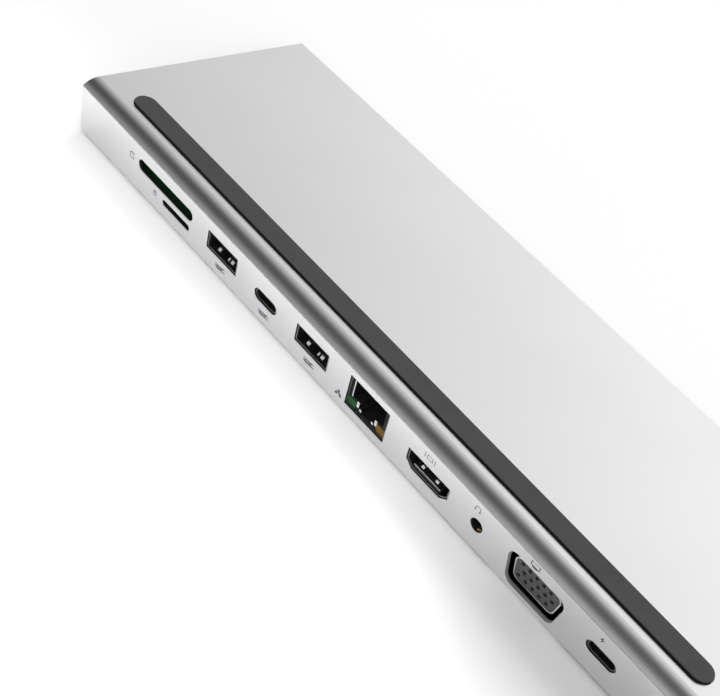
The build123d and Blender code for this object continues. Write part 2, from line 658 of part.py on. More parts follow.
spring_x = (channel[0] + channel[1]) / 2
spring_z = (tf_floor + tf_ceiling) / 2
spring_radius = (SPRING_OD - SPRING_WIRE) / 2
spring_start = slider_rear + SPRING_GAP + SPRING_WIRE / 2
spring_length = channel_rear - SPRING_GAP - SPRING_WIRE / 2 - spring_start
with BuildPart() as tf_spring:
    with BuildLine() as coil:
        Helix(
            pitch=spring_length / SPRING_TURNS,
            height=spring_length,
            radius=spring_radius,
            center=(spring_x, FACE_Y + spring_start, spring_z),
            direction=(0, 1, 0),
        )
    with BuildSketch(Plane(origin=coil.line @ 0, z_dir=coil.line % 0)):
        Circle(SPRING_WIRE / 2)
    sweep(is_frenet=True)
finish(tf_spring.part, "tf_spring")

# ================= USB-A =================
EAR = 1.2
EAR_REACH = 1.0


def ears(x, z, half, depth, root=0.0):
    """Side tabs that hold a mid-mounted connector on the board; root sinks them into a round side.

    Where the board lies below the connector's side, each tab turns up to meet it.
    """
    upright = (BOARD_TOP, max(BOARD_TOP + SHEET, level(z)))
    for side in (-1, 1):
        width = EAR + root
        centre = x + side * (half - root + width / 2)
        block(about(centre, width / 2), about(depth, EAR_REACH), (BOARD_TOP, BOARD_TOP + SHEET))
        block(about(x + side * half, SHEET / 2), about(depth, EAR_REACH), upright)


USB_A_SPRING_X = 3.2
USB_A_BACK = 2.4
USB_A_TONGUE = 11.0
USB_A_TONGUE_ZS = (0.35, 2.15)
USB_A_PITCH = 2.4
USB_A_WIPER_PITCH = 2.0
CONTACT = 0.12


def usb_a(x, side):
    width, height = USB_A_SIZE
    depths = (0.4, 0.4 + USB_A_LENGTH)
    middle = level(USB_A_Z)
    with BuildPart() as shell:
        prism(rounded(width, height, 0.35), x, USB_A_Z, depths)
        prism(rounded(width - 2 * SHEET, height - 2 * SHEET, 0.1), x, USB_A_Z, depths, Mode.SUBTRACT)
        ears(x, USB_A_Z, width / 2, depths[1] - 3.0)
        inside = height / 2 - SHEET
        for dx in (-USB_A_SPRING_X, USB_A_SPRING_X):
            for start in (middle + inside - PLATE, middle - inside):
                block(about(x + dx, 1.0), (3.0, 7.0), (start, start + PLATE))
    finish(shell.part, f"usb_a_{side}_shell")
    with BuildPart() as tongue:
        plug_end = (depths[1] - USB_A_BACK, depths[1])
        block(about(x, width / 2 - SHEET - SNUG), plug_end, about(middle, height / 2 - SHEET - SNUG))
        tongue_zs = (middle + USB_A_TONGUE_ZS[0], middle + USB_A_TONGUE_ZS[1])
        block(about(x, USB_A_TONGUE / 2), (1.7, plug_end[0]), tongue_zs)
    finish(tongue.part, f"usb_a_{side}_tongue")
    with BuildPart() as contacts:
        contact_zs = (tongue_zs[0] - CONTACT, tongue_zs[0])
        for index in range(4):
            block(about(x + (index - 1.5) * USB_A_PITCH, 0.5), (2.4, plug_end[0]), contact_zs)
        for index in range(5):
            block(about(x + (index - 2) * USB_A_WIPER_PITCH, 0.3), (1.9, 2.3), contact_zs)
    finish(contacts.part, f"usb_a_{side}_contacts")


for x, side in zip(USB_A_XS, ("left", "right")):
    usb_a(x, side)


# ================= USB-C =================
USB_C_ROOT = 0.4
USB_C_BACK = 1.4
USB_C_TONGUE = (6.7, 0.7)
USB_C_TONGUE_SET = 0.7
USB_C_TONGUE_EDGE = 0.15
USB_C_PINS = 12
USB_C_PITCH = 0.5
USB_C_PIN = (0.24, 0.05)
USB_C_PIN_SET = 1.3


def usb_c(x, role):
    width, height = USB_C_SIZE
    depths = (0.5, 0.5 + USB_C_LENGTH)
    middle = level(USB_C_Z)
    with BuildPart() as shell:
        prism(obround(width, height), x, USB_C_Z, depths)
        prism(obround(width - 2 * SHEET, height - 2 * SHEET), x, USB_C_Z, depths, Mode.SUBTRACT)
        ears(x, USB_C_Z, width / 2, depths[1] - 2.0, root=USB_C_ROOT)
    finish(shell.part, f"usb_c_{role}_shell")
    with BuildPart() as tongue:
        plug_end = depths[1] - USB_C_BACK
        prism(obround(width - 2 * SHEET, height - 2 * SHEET), x, USB_C_Z, (plug_end, depths[1]))
        tongue_xs = about(x, USB_C_TONGUE[0] / 2)
        block(tongue_xs, (depths[0] + USB_C_TONGUE_SET, plug_end), about(middle, USB_C_TONGUE[1] / 2))
        chamfer(tongue.faces().sort_by(Axis.Y)[0].edges(), USB_C_TONGUE_EDGE)
    finish(tongue.part, f"usb_c_{role}_tongue")
    with BuildPart() as contacts:
        reach = (depths[0] + USB_C_PIN_SET, plug_end)
        for index in range(USB_C_PINS):
            strip_x = x + (index - (USB_C_PINS - 1) / 2) * USB_C_PITCH
            for side in (-1, 1):
                face = middle + side * (USB_C_TONGUE[1] + USB_C_PIN[1]) / 2
                block(about(strip_x, USB_C_PIN[0] / 2), reach, about(face, USB_C_PIN[1] / 2))
    finish(contacts.part, f"usb_c_{role}_contacts")


for x, role in zip(USB_C_XS, ("data", "power")):
    usb_c(x, role)

# ================= RJ45 =================
rj_width, rj_height = RJ45_SIZE
rj_depths = (0.5, 0.5 + RJ45_LENGTH)
rj_middle = level(RJ45_Z)
rj_half = rj_width / 2 - PLATE - SNUG
rj_low = rj_middle - rj_height / 2 + PLATE + SNUG
RJ_CAVITY = 5.95
RJ_CAVITY_TOP = 4.6
RJ_CAVITY_FLOOR = -1.8
RJ_DEEP = 12.4
RJ_LIGHT = (3.2, 2.6)
with BuildPart() as rj45_shield:
    prism(rounded(rj_width, rj_height, 0.2), RJ45_X, RJ45_Z, rj_depths)
    inner_depths = (rj_depths[0], rj_depths[1] - PLATE)
    hollow = rounded(rj_width - 2 * PLATE, rj_height - 2 * PLATE, 0.05)
    prism(hollow, RJ45_X, RJ45_Z, inner_depths, Mode.SUBTRACT)
    ears(RJ45_X, RJ45_Z, rj_width / 2, rj_depths[1] - 3.0)
finish(rj45_shield.part, "rj45_shield")

light_xs = {side: (RJ45_X + side * (rj_half - RJ_LIGHT[0] / 2)) for side in (-1, 1)}
with BuildPart() as rj45_housing:
    housing_depths = (rj_depths[0] + 0.4, rj_depths[1] - PLATE)
    block(about(RJ45_X, rj_half), housing_depths, about(rj_middle, rj_middle - rj_low))
    cavity = (housing_depths[0], RJ_DEEP)
    cavity_zs = (rj_middle + RJ_CAVITY_FLOOR, rj_middle + RJ_CAVITY_TOP)
    block(about(RJ45_X, RJ_CAVITY), cavity, cavity_zs, Mode.SUBTRACT)
    block(about(RJ45_X, 3.1), cavity, (rj_middle - 3.3, rj_middle + RJ_CAVITY_FLOOR), Mode.SUBTRACT)
    block(about(RJ45_X, 1.9), cavity, (rj_low + 0.5, rj_middle - 3.3), Mode.SUBTRACT)
    for light_x in light_xs.values():
        block(about(light_x, RJ_LIGHT[0] / 2), cavity, (rj_low, rj_low + RJ_LIGHT[1]), Mode.SUBTRACT)
finish(rj45_housing.part, "rj45_housing")

for side, name in ((-1, "rj45_green_light"), (1, "rj45_amber_light")):
    with BuildPart() as light:
        pipe_zs = (rj_low, rj_low + RJ_LIGHT[1])
        block(about(light_xs[side], RJ_LIGHT[0] / 2), (rj_depths[0] + 0.2, RJ_DEEP), pipe_zs)
        chamfer(light.faces().sort_by(Axis.Y)[0].edges(), 0.12)
    finish(light.part, name)

with BuildPart() as rj45_contacts:
    wire_top = rj_middle + RJ_CAVITY_TOP
    for index in range(8):
        with BuildSketch(Plane.YZ.offset(RJ45_X + (index - 3.5) * 1.02)):
            with BuildLine():
                Polyline(
                    (FACE_Y + 3.5, wire_top),
                    (FACE_Y + 3.8, wire_top),
                    (FACE_Y + 10.5, wire_top - 1.7),
                    (FACE_Y + 10.4, wire_top - 2.0),
                    (FACE_Y + 3.5, wire_top - 0.3),
                    close=True,
                )
            make_face()
        extrude(amount=0.2, both=True)
finish(rj45_contacts.part, "rj45_contacts")

# ================= HDMI =================
hdmi_depths = (0.4, 0.4 + HDMI_LENGTH)
hdmi_middle = level(HDMI_Z)
HDMI_SPRING_X = 2.9
with BuildPart() as hdmi_shell:
    prism(hdmi_outline(), HDMI_X, HDMI_Z, hdmi_depths)
    prism(hdmi_outline(-SHEET), HDMI_X, HDMI_Z, hdmi_depths, Mode.SUBTRACT)
    ears(HDMI_X, HDMI_Z, HDMI_SIZE[0] / 2, hdmi_depths[1] - 2.5)
    hdmi_roof = hdmi_middle + HDMI_SIZE[1] / 2 - SHEET
    for dx in (-HDMI_SPRING_X, HDMI_SPRING_X):
        block(about(HDMI_X + dx, 0.8), (1.6, 5.6), (hdmi_roof - 0.45, hdmi_roof))
finish(hdmi_shell.part, "hdmi_shell")

HDMI_TONGUE_TOP = -0.75
HDMI_TONGUE = (10.0, 1.1)
HDMI_BACK = 2.2
HDMI_PIN = (0.4, 0.08)
HDMI_PIN_SET = 1.0
HDMI_PITCH = 0.95
hdmi_plug_end = hdmi_depths[1] - HDMI_BACK
with BuildPart() as hdmi_tongue:
    prism(hdmi_outline(-SHEET), HDMI_X, HDMI_Z, (hdmi_plug_end, hdmi_depths[1]))
    tongue_zs = (hdmi_middle + HDMI_TONGUE_TOP - HDMI_TONGUE[1], hdmi_middle + HDMI_TONGUE_TOP)
    block(about(HDMI_X, HDMI_TONGUE[0] / 2), (hdmi_depths[0] + 0.1, hdmi_plug_end), tongue_zs)
finish(hdmi_tongue.part, "hdmi_tongue")

with BuildPart() as hdmi_contacts:
    rows = ((10, (tongue_zs[1], tongue_zs[1] + HDMI_PIN[1])), (9, (tongue_zs[0] - HDMI_PIN[1], tongue_zs[0])))
    reach = (hdmi_depths[0] + HDMI_PIN_SET, hdmi_plug_end)
    for count, pin_zs in rows:
        for index in range(count):
            contact_x = HDMI_X + (index - (count - 1) / 2) * HDMI_PITCH
            block(about(contact_x, HDMI_PIN[0] / 2), reach, pin_zs)
finish(hdmi_contacts.part, "hdmi_contacts")

# ================= audio jack =================
jack_depths = (PANEL, PANEL + JACK_LENGTH)
jack_mouth = PANEL - JACK_NOSE
jack_middle = level(JACK_Z)
JACK_CONTACT = 0.25
JACK_CONTACT_GAP = 0.15
with BuildPart() as audio_body:
    prism(rounded(*JACK_BODY, 0.4), JACK_X, JACK_Z, jack_depths)
    prism(circle_outline(JACK_CUT - 2 * JACK_NOSE_GAP), JACK_X, JACK_Z, (jack_mouth, PANEL))
    jack_bore = (jack_mouth, jack_depths[1] - JACK_END)
    prism(circle_outline(JACK_BORE), JACK_X, JACK_Z, jack_bore, Mode.SUBTRACT)
    contact_depths = [(3.0, 5.0), (7.0, 9.0), (10.5, 12.5)]
    for index, depths in enumerate(contact_depths):
        side = -1 if index % 2 else 1
        window_x = JACK_X + side * (JACK_BORE / 2 + JACK_CONTACT_GAP / 2)
        window = about(window_x, JACK_CONTACT_GAP / 2 + JACK_CONTACT)
        block(window, depths, about(jack_middle, 0.6), Mode.SUBTRACT)
finish(audio_body.part, "audio_body")

with BuildPart() as audio_contacts:
    for index, depths in enumerate(contact_depths):
        side = -1 if index % 2 else 1
        centre = JACK_X + side * (JACK_BORE / 2 + JACK_CONTACT_GAP + JACK_CONTACT / 2)
        block(about(centre, JACK_CONTACT / 2), depths, about(jack_middle, 0.6))
finish(audio_contacts.part, "audio_contacts")

# ================= VGA =================
VGA_FRONT = 1.37
VGA_EAR_DEPTH = 8.0
vga_sheet = 0.4
vga_inner = (VGA_SIZE[0] - 2 * vga_sheet, VGA_SIZE[1] - 2 * vga_sheet)
vga_middle = level(VGA_Z)
flange_rear = VGA_FLANGE_DEPTH + 0.5
with BuildPart() as vga_shell:
    prism(d_outline(*VGA_SIZE, 2.0), VGA_X, VGA_Z, (VGA_FRONT, VGA_FLANGE_DEPTH))
    prism(rounded(*VGA_FLANGE, 0.5), VGA_X, VGA_Z, (VGA_FLANGE_DEPTH, flange_rear))
    prism(d_outline(*vga_inner, 1.6), VGA_X, VGA_Z, (VGA_FRONT, flange_rear), Mode.SUBTRACT)
    ears(VGA_X, VGA_Z, VGA_FLANGE[0] / 2, VGA_EAR_DEPTH)
    for side in (-1, 1):
        arm_x = VGA_X + side * (VGA_FLANGE[0] / 2 - SHEET / 2)
        block(about(arm_x, SHEET / 2), (flange_rear, 9.0), about(BOARD_TOP, SHEET))
finish(vga_shell.part, "vga_shell")


def pin_places():
    """Centres of the fifteen holes, in three rows, the middle one set half a pitch over."""
    for row in (-1, 0, 1):
        shift = PIN_PITCH / 4 if row == 0 else -PIN_PITCH / 4
        for column in range(-2, 3):
            yield (VGA_X + shift + column * PIN_PITCH, level(VGA_Z + row * PIN_ROW))


with BuildPart() as vga_insulator:
    nose_outline = d_outline(vga_inner[0] - 2 * SNUG, vga_inner[1] - 2 * SNUG, 1.6 - SNUG)
    prism(nose_outline, VGA_X, VGA_Z, (VGA_FRONT + 0.15, flange_rear))
    prism(rounded(*VGA_BLOCK, 0.3), VGA_X, VGA_Z, (flange_rear, VGA_LENGTH))
    with BuildSketch(face_plane(VGA_FRONT)):
        with Locations(list(pin_places())):
            Circle(PIN_HOLE / 2)
    extrude(amount=-8.0, mode=Mode.SUBTRACT)
finish(vga_insulator.part, "vga_insulator")

with BuildPart() as vga_contacts:
    with BuildSketch(face_plane(VGA_FRONT + 1.8)):
        with Locations(list(pin_places())):
            Circle(PIN_HOLE / 2)
            Circle(PIN_HOLE / 2 - 0.2, mode=Mode.SUBTRACT)
    extrude(amount=-5.6)
finish(vga_contacts.part, "vga_contacts")
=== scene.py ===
"""Studio picture of the wedge-shaped laptop dock: camera, floor, lights, finishes and fine surface pieces."""

import json
import math

import bmesh
import bpy
from mathutils import Euler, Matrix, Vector


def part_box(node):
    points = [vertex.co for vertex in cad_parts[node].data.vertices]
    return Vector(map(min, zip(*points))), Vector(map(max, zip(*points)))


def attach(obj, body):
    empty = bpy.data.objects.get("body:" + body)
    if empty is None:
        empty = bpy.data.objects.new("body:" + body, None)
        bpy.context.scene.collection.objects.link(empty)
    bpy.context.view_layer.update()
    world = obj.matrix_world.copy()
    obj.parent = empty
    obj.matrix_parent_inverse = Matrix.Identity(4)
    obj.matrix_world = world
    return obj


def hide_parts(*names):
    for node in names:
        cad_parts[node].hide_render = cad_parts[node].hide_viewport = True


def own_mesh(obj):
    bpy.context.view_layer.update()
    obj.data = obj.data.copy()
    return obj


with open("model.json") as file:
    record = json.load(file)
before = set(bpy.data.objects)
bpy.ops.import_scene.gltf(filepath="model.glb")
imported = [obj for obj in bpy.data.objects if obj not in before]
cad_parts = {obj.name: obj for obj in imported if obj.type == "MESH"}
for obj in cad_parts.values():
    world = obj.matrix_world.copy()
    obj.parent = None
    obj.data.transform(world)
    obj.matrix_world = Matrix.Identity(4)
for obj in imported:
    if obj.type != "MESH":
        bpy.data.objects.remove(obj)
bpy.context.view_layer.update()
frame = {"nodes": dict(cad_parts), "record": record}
nodes = frame["nodes"]

MM = 0.001
FACE_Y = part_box("port_panel")[0][1]
ORIGIN = (0.0, 0.0, 0.0)


def link_object(name, data):
    """Put a new object that carries data into the scene."""
    thing = bpy.data.objects.new(name, data)
    bpy.context.scene.collection.objects.link(thing)
    return thing


# ================= camera =================
CAMERA_PLACE = (0.15736, -0.23775, 0.29333)
CAMERA_TURN = (42.11, -10.55, 50.32)
CAMERA_LENS = 74.23
CAMERA_SENSOR = 36.0
CLIP_START = 0.01


def add_camera():
    data = bpy.data.cameras.new("camera")
    data.sensor_width = CAMERA_SENSOR
    data.lens = CAMERA_LENS
    data.clip_start = CLIP_START
    camera = link_object("camera", data)
    camera.location = CAMERA_PLACE
    camera.rotation_euler = Euler([math.radians(a) for a in CAMERA_TURN], "XYZ")
    bpy.context.scene.camera = camera


# ================= node helpers =================
# Sockets of a Mix node in colour mode, which share their names with those of its other modes.
MIX_FACTOR, MIX_FIRST, MIX_SECOND, MIX_RESULT = 0, 6, 7, 2


def grey(level):
    return (level, level, level)


def fill_ramp(node, stops):
    """Set a colour ramp's stops, given as (position, colour)."""
    elements = node.color_ramp.elements
    while len(elements) < len(stops):
        elements.new(0.5)
    for element, (position, colour) in zip(elements, stops):
        element.position = position
        element.color = (*colour, 1.0)


class Recipe:
    """A material's node tree, with short calls for the nodes that the finishes share."""

    def __init__(self, name):
        self.material = bpy.data.materials.new(name)
        self.material.use_nodes = True
        self.tree = self.material.node_tree
        self.shader = self.tree.nodes["Principled BSDF"]
        self.coordinates = self.tree.nodes.new("ShaderNodeTexCoord")
        self.place = self.coordinates.outputs["Object"]

    def set(self, socket, value):
        self.shader.inputs[socket].default_value = value

    def link(self, source, target):
        self.tree.links.new(source, target)

    def stretched(self, scale):
        node = self.tree.nodes.new("ShaderNodeMapping")
        node.inputs["Scale"].default_value = scale
        self.link(self.place, node.inputs["Vector"])
        return node.outputs["Vector"]

    def noise(self, scale, detail, place=None):
        node = self.tree.nodes.new("ShaderNodeTexNoise")
        node.inputs["Scale"].default_value = scale
        node.inputs["Detail"].default_value = detail
        self.link(place or self.place, node.inputs["Vector"])
        return node.outputs["Fac"]

    def axis(self, letter, of="Object"):
        """One component of the place on the object in metres, or with "Normal" of the surface direction."""
        node = self.tree.nodes.new("ShaderNodeSeparateXYZ")
        self.link(self.coordinates.outputs[of], node.inputs["Vector"])
        return node.outputs[letter]

    def step(self, value, start, width):
        """0 before start and 1 after start + width; a negative width steps the other way."""
        node = self.tree.nodes.new("ShaderNodeMapRange")
        node.inputs["From Min"].default_value = start
        node.inputs["From Max"].default_value = start + width
        self.link(value, node.inputs["Value"])
        return node.outputs["Result"]

    def both(self, first, second):
        """Product of two masks."""
        node = self.tree.nodes.new("ShaderNodeMath")
        node.operation = "MULTIPLY"
        self.link(first, node.inputs[0])
        self.link(second, node.inputs[1])
        return node.outputs["Value"]

    def colour(self, value, stops):
        """Base colour from a ramp over value."""
        node = self.tree.nodes.new("ShaderNodeValToRGB")
        fill_ramp(node, stops)
        self.link(value, node.inputs["Fac"])
        self.link(node.outputs["Color"], self.shader.inputs["Base Color"])

    def roughness(self, value, low, high):
        """Roughness that runs from low to high with value."""
        node = self.tree.nodes.new("ShaderNodeMapRange")
        node.inputs["To Min"].default_value = low
        node.inputs["To Max"].default_value = high
        self.link(value, node.inputs["Value"])
        self.link(node.outputs["Result"], self.shader.inputs["Roughness"])

    def bump(self, value, height, strength):
        node = self.tree.nodes.new("ShaderNodeBump")
        node.inputs["Distance"].default_value = height
        node.inputs["Strength"].default_value = strength
        self.link(value, node.inputs["Height"])
        self.link(node.outputs["Normal"], self.shader.inputs["Normal"])

    def blend(self, mask, socket, second):
        """Mix what already feeds a shader socket with a second colour where the mask is 1."""
        target = self.shader.inputs[socket]
        first = target.links[0].from_socket
        node = self.tree.nodes.new("ShaderNodeMix")
        node.data_type = "RGBA"
        node.inputs[MIX_SECOND].default_value = (*second, 1.0)
        self.link(mask, node.inputs[MIX_FACTOR])
        self.link(first, node.inputs[MIX_FIRST])
        self.link(node.outputs[MIX_RESULT], target)


def shaded(tone, share, lift=0.0):
    """The tone times a share, plus a little lift, no brighter than white."""
    return tuple(min(1.0, channel * share + lift) for channel in tone)


# ================= finishes =================
SILVER = (0.70, 0.70, 0.71)
# Near-white metal tone for painted highlights and glints.
HIGHLIGHT_WHITE = (0.90, 0.90, 0.91)
RUBBER_GREY = (0.043, 0.043, 0.044)
# Painted shade: nearly black tones for the base plate's inner side, the grip strip's skirt and the VGA
# shell's flange.
INNER_PAINTED_SHADE = grey(0.010)
SKIRT_PAINTED_SHADE = grey(0.006)
FLANGE_PAINTED_SHADE = grey(0.012)
# Painted shade and painted highlight for the walls of the port panel's cut-outs.
CUT_PAINTED_SHADE = grey(0.07)
CUT_PAINTED_HIGHLIGHT = grey(0.80)
RIM_SHADE = grey(0.10)
CUT_ROUGHNESS = 0.6
INNER_SHADE_START = 0.9 * MM  # above the port panel's lower edge
WALL_START = 0.18 * MM  # behind the port face
FLANGE_START = 2.2 * MM  # behind the port face
FLANGE_FADE = 0.2 * MM
SHARP = 0.05 * MM
SOFT = 0.5 * MM
VGA_MARGIN = 1.0 * MM


def blasted_aluminium(name, tone):
    """Sandblasted and anodised sheet: a fine even grain with faint clouding."""
    recipe = Recipe(name)
    recipe.set("Metallic", 1.0)
    clouds = recipe.noise(22.0, 2.0)
    recipe.colour(clouds, [(0.3, shaded(tone, 0.97)), (0.7, tone)])
    grain = recipe.noise(5200.0, 2.0)
    recipe.roughness(grain, 0.27, 0.35)
    recipe.bump(grain, 0.02 * MM, 0.35)
    return recipe


def inner_shaded_aluminium(name, tone):
    """Blasted sheet with painted shade, nearly black, on its inner side above a low height."""
    recipe = blasted_aluminium(name, tone)
    inner = recipe.step(recipe.axis("Z"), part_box("port_panel")[0][2] + INNER_SHADE_START, SHARP)
    # Painted shade on the inner side.
    recipe.blend(inner, "Base Color", INNER_PAINTED_SHADE)
    return recipe.material


def cutout_shaded_aluminium(name, tone):
    """Blasted sheet with painted shade on the walls of its small cut-outs and a painted highlight on the
    walls of the VGA cut-out.
    """
    recipe = blasted_aluminium(name, tone)
    walls = recipe.step(recipe.axis("Y"), FACE_Y + WALL_START, SHARP)
    low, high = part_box("vga_shell")
    after = recipe.step(recipe.axis("X"), low[0] - VGA_MARGIN, SOFT)
    before = recipe.step(recipe.axis("X"), high[0] + VGA_MARGIN, -SOFT)
    # Painted shade on the cut-out walls, then a painted highlight on those of the VGA cut-out.
    recipe.blend(walls, "Base Color", CUT_PAINTED_SHADE)
    recipe.blend(recipe.both(walls, recipe.both(after, before)), "Base Color", CUT_PAINTED_HIGHLIGHT)
    recipe.blend(walls, "Roughness", grey(CUT_ROUGHNESS))
    return recipe.material


def rubber(name, tone):
    """Soft-touch silicone with a very fine pebble and a dusty sheen."""
    recipe = Recipe(name)
    recipe.set("Metallic", 0.0)
    dust = recipe.noise(160.0, 4.0)
    recipe.colour(dust, [(0.3, tone), (0.75, shaded(tone, 1.18))])
    pebble = recipe.noise(3800.0, 2.0)
    recipe.roughness(pebble, 0.62, 0.78)
    recipe.bump(pebble, 0.04 * MM, 0.4)
    return recipe


def skirt_shaded_rubber(name, tone):
    """The same silicone with painted shade, nearly black, on its upright skirt."""
    recipe = rubber(name, tone)
    upright = recipe.step(recipe.axis("Z", "Normal"), 0.55, -0.1)
    # Painted shade on the upright faces.
    recipe.blend(upright, "Base Color", SKIRT_PAINTED_SHADE)
    recipe.set("Specular IOR Level", 0.3)
    return recipe.material


def plated_sheet(name, tone, roughness=0.22):
    """Nickel or gold plate over stamped sheet, with drawn streaks along the depth."""
    recipe = Recipe(name)
    recipe.set("Metallic", 1.0)
    streaks = recipe.noise(1.0, 3.0, recipe.stretched((2600.0, 160.0, 2600.0)))
    recipe.colour(streaks, [(0.3, shaded(tone, 0.84)), (0.7, tone)])
    recipe.roughness(streaks, roughness * 0.75, roughness * 1.35)
    recipe.bump(streaks, 0.01 * MM, 0.3)
    return recipe


def rim_with_painted_light(name, tone):
    """Plated shell with a painted highlight on its rim's upper right, painted shade on its lower left and
    painted shade, nearly black, on the flange behind.
    """
    recipe = plated_sheet(name, tone, 0.3)
    low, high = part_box("vga_insulator")
    width, height = high[0] - low[0], high[2] - low[2]
    below = recipe.step(recipe.axis("Z"), low[2] + 0.75 * height, -height)
    left = recipe.step(recipe.axis("X"), high[0], -0.6 * width)
    # Painted shade on the lower left of the rim.
    recipe.blend(recipe.both(below, left), "Base Color", RIM_SHADE)
    flange = recipe.step(recipe.axis("Y"), FACE_Y + FLANGE_START, FLANGE_FADE)
    # Painted shade, nearly black, on the flange behind the face.
    recipe.blend(flange, "Base Color", FLANGE_PAINTED_SHADE)
    return recipe.material


def moulded_plastic(name, tone, rough=0.5, gloss=0.5):
    """Injection-moulded plastic with a faint eroded texture."""
    recipe = Recipe(name)
    recipe.set("Metallic", 0.0)
    recipe.set("Specular IOR Level", gloss)
    flow = recipe.noise(420.0, 3.0)
    recipe.colour(flow, [(0.35, tone), (0.7, shaded(tone, 1.15, 0.004))])
    texture = recipe.noise(3000.0, 2.0)
    recipe.roughness(texture, rough * 0.85, rough * 1.15)
    recipe.bump(texture, 0.02 * MM, 0.35)
    return recipe.material


def solder_mask(name):
    """Green circuit board with a woven laminate showing faintly through its glossy mask."""
    recipe = Recipe(name)
    recipe.set("Metallic", 0.0)
    weave = recipe.tree.nodes.new("ShaderNodeTexWave")
    weave.inputs["Scale"].default_value = 700.0
    weave.inputs["Distortion"].default_value = 1.5
    recipe.link(recipe.place, weave.inputs["Vector"])
    recipe.colour(weave.outputs["Fac"], [(0.2, (0.002, 0.022, 0.006)), (0.8, (0.004, 0.038, 0.010))])
    recipe.roughness(recipe.noise(900.0, 3.0), 0.22, 0.4)
    recipe.bump(weave.outputs["Fac"], 0.01 * MM, 0.3)
    return recipe.material


def light_pipe(name, tone):
    """Tinted plastic that carries a status light."""
    recipe = Recipe(name)
    recipe.set("Metallic", 0.0)
    recipe.set("Specular IOR Level", 0.15)
    haze = recipe.noise(1500.0, 2.0)
    recipe.colour(haze, [(0.3, shaded(tone, 0.6)), (0.7, tone)])
    recipe.roughness(haze, 0.12, 0.25)
    recipe.bump(haze, 0.01 * MM, 0.3)
    return recipe.material


FINISHES = {
    "aluminium": blasted_aluminium("blasted_aluminium", SILVER).material,
    "dark_rubber": rubber("dark_rubber", RUBBER_GREY).material,
    "steel": plated_sheet("nickel_sheet", (0.72, 0.72, 0.73)).material,
    "spring_steel": plated_sheet("spring_wire", (0.55, 0.55, 0.56), 0.3).material,
    "gold": plated_sheet("gold_plate", (0.90, 0.66, 0.22), 0.25).material,
    "black_plastic": moulded_plastic("black_plastic", (0.018, 0.018, 0.019)),
    "white_plastic": moulded_plastic("white_plastic", (0.72, 0.72, 0.69)),
    "ferrite": moulded_plastic("ferrite", (0.06, 0.06, 0.065), 0.7),
    "grey_pad": moulded_plastic("thermal_pad", (0.40, 0.42, 0.46), 0.8),
    "board_green": solder_mask("solder_mask"),
    "green_light": light_pipe("green_pipe", (0.002, 0.075, 0.012)),
    "amber_light": light_pipe("amber_pipe", (0.16, 0.085, 0.006)),
}
SLOTS = {entry["node"]: entry["material_slot"] for entry in frame["record"]["subparts"]}
# Near-white steel whose brightness paints glints on the socket springs, the HDMI tongue edge and the RJ45
# bars.
GLINT_STEEL = plated_sheet("glint_steel", HIGHLIGHT_WHITE, 0.3).material
# Darkened steel: painted shade on the socket shells, HDMI parts, RJ45 shield and VGA contacts.
SHADED_STEEL = plated_sheet("shaded_steel", (0.24, 0.24, 0.25), 0.35).material
PORT_BLACK = moulded_plastic("port_black", grey(0.006), 0.55, 0.2)
INSULATOR = moulded_plastic("insulator_grey", (0.050, 0.050, 0.052), 0.45)
INK = moulded_plastic("grey_ink", (0.060, 0.060, 0.065), 0.6)


def dress(node, material):
    """Give a CAD node its one material."""
    mesh = nodes[node].data
    mesh.materials.clear()
    mesh.materials.append(material)


def dress_nodes():
    """Every node takes its slot's finish, then the sockets and the case take their own."""
    for node, slot in SLOTS.items():
        dress(node, FINISHES[slot])
    # Socket shells and contacts take the darkened steel, painted shade; tongues and housings are black
    # plastic.
    for socket in ("usb_a_left", "usb_a_right", "usb_c_data", "usb_c_power"):
        dress(f"{socket}_shell", SHADED_STEEL)
        dress(f"{socket}_tongue", PORT_BLACK)
    for node in ("hdmi_shell", "hdmi_contacts", "rj45_shield", "vga_contacts"):
        dress(node, SHADED_STEEL)
    for node in ("hdmi_tongue", "rj45_housing", "audio_body"):
        dress(node, PORT_BLACK)
    # The VGA rim, base plate, port panel and grip strip take finishes that carry painted light and shade.
    dress("vga_insulator", INSULATOR)
    dress("vga_shell", rim_with_painted_light("rim_with_painted_light", HIGHLIGHT_WHITE))
    dress("base_plate", inner_shaded_aluminium("inner_shaded_aluminium", SILVER))
    dress("port_panel", cutout_shaded_aluminium("cutout_shaded_aluminium", SILVER))
    dress("grip_strip", skirt_shaded_rubber("skirt_shaded_rubber", RUBBER_GREY))


# ================= small metalwork in the sockets, painted glints and the seam's painted shadow ===
# Depths are millimetres behind the port face. Other distances are millimetres about an origin.
SIDES = (-1, 1)
CORNERS = ((-1, -1), (1, -1), (1, 1), (-1, 1))
SHEET = 0.12
SHELL_WALL = 0.3 * MM

USB_SPRING = [(1.6, 0.02), (2.25, 0.62), (2.8, 0.66), (3.8, 0.08)]
USB_SPRING_PLACES = ((-2.9, 1.1), (1.4, 0.5), (2.9, 1.1))  # (sideways from the socket's middle, width)
HDMI_SPRING = [(1.1, 0.02), (1.6, 0.48), (2.0, 0.52), (2.6, 0.1)]
HDMI_SPRING_OFFSET = 2.7
HDMI_SPRING_WIDTH = 1.0

TONGUE_DROP = 0.08 * MM
TONGUE_EDGE_HALF = 4.9
TONGUE_EDGE_DEPTHS = (0.42, 0.51)
TONGUE_EDGE_RISES = (-0.16, 0.03)
RIBS = 19
RIB_PITCH = 0.5
RIB_HALF = 0.11
RIB_DEPTHS = (0.44, 0.51)
RIB_RISES = (-1.0, -0.3)

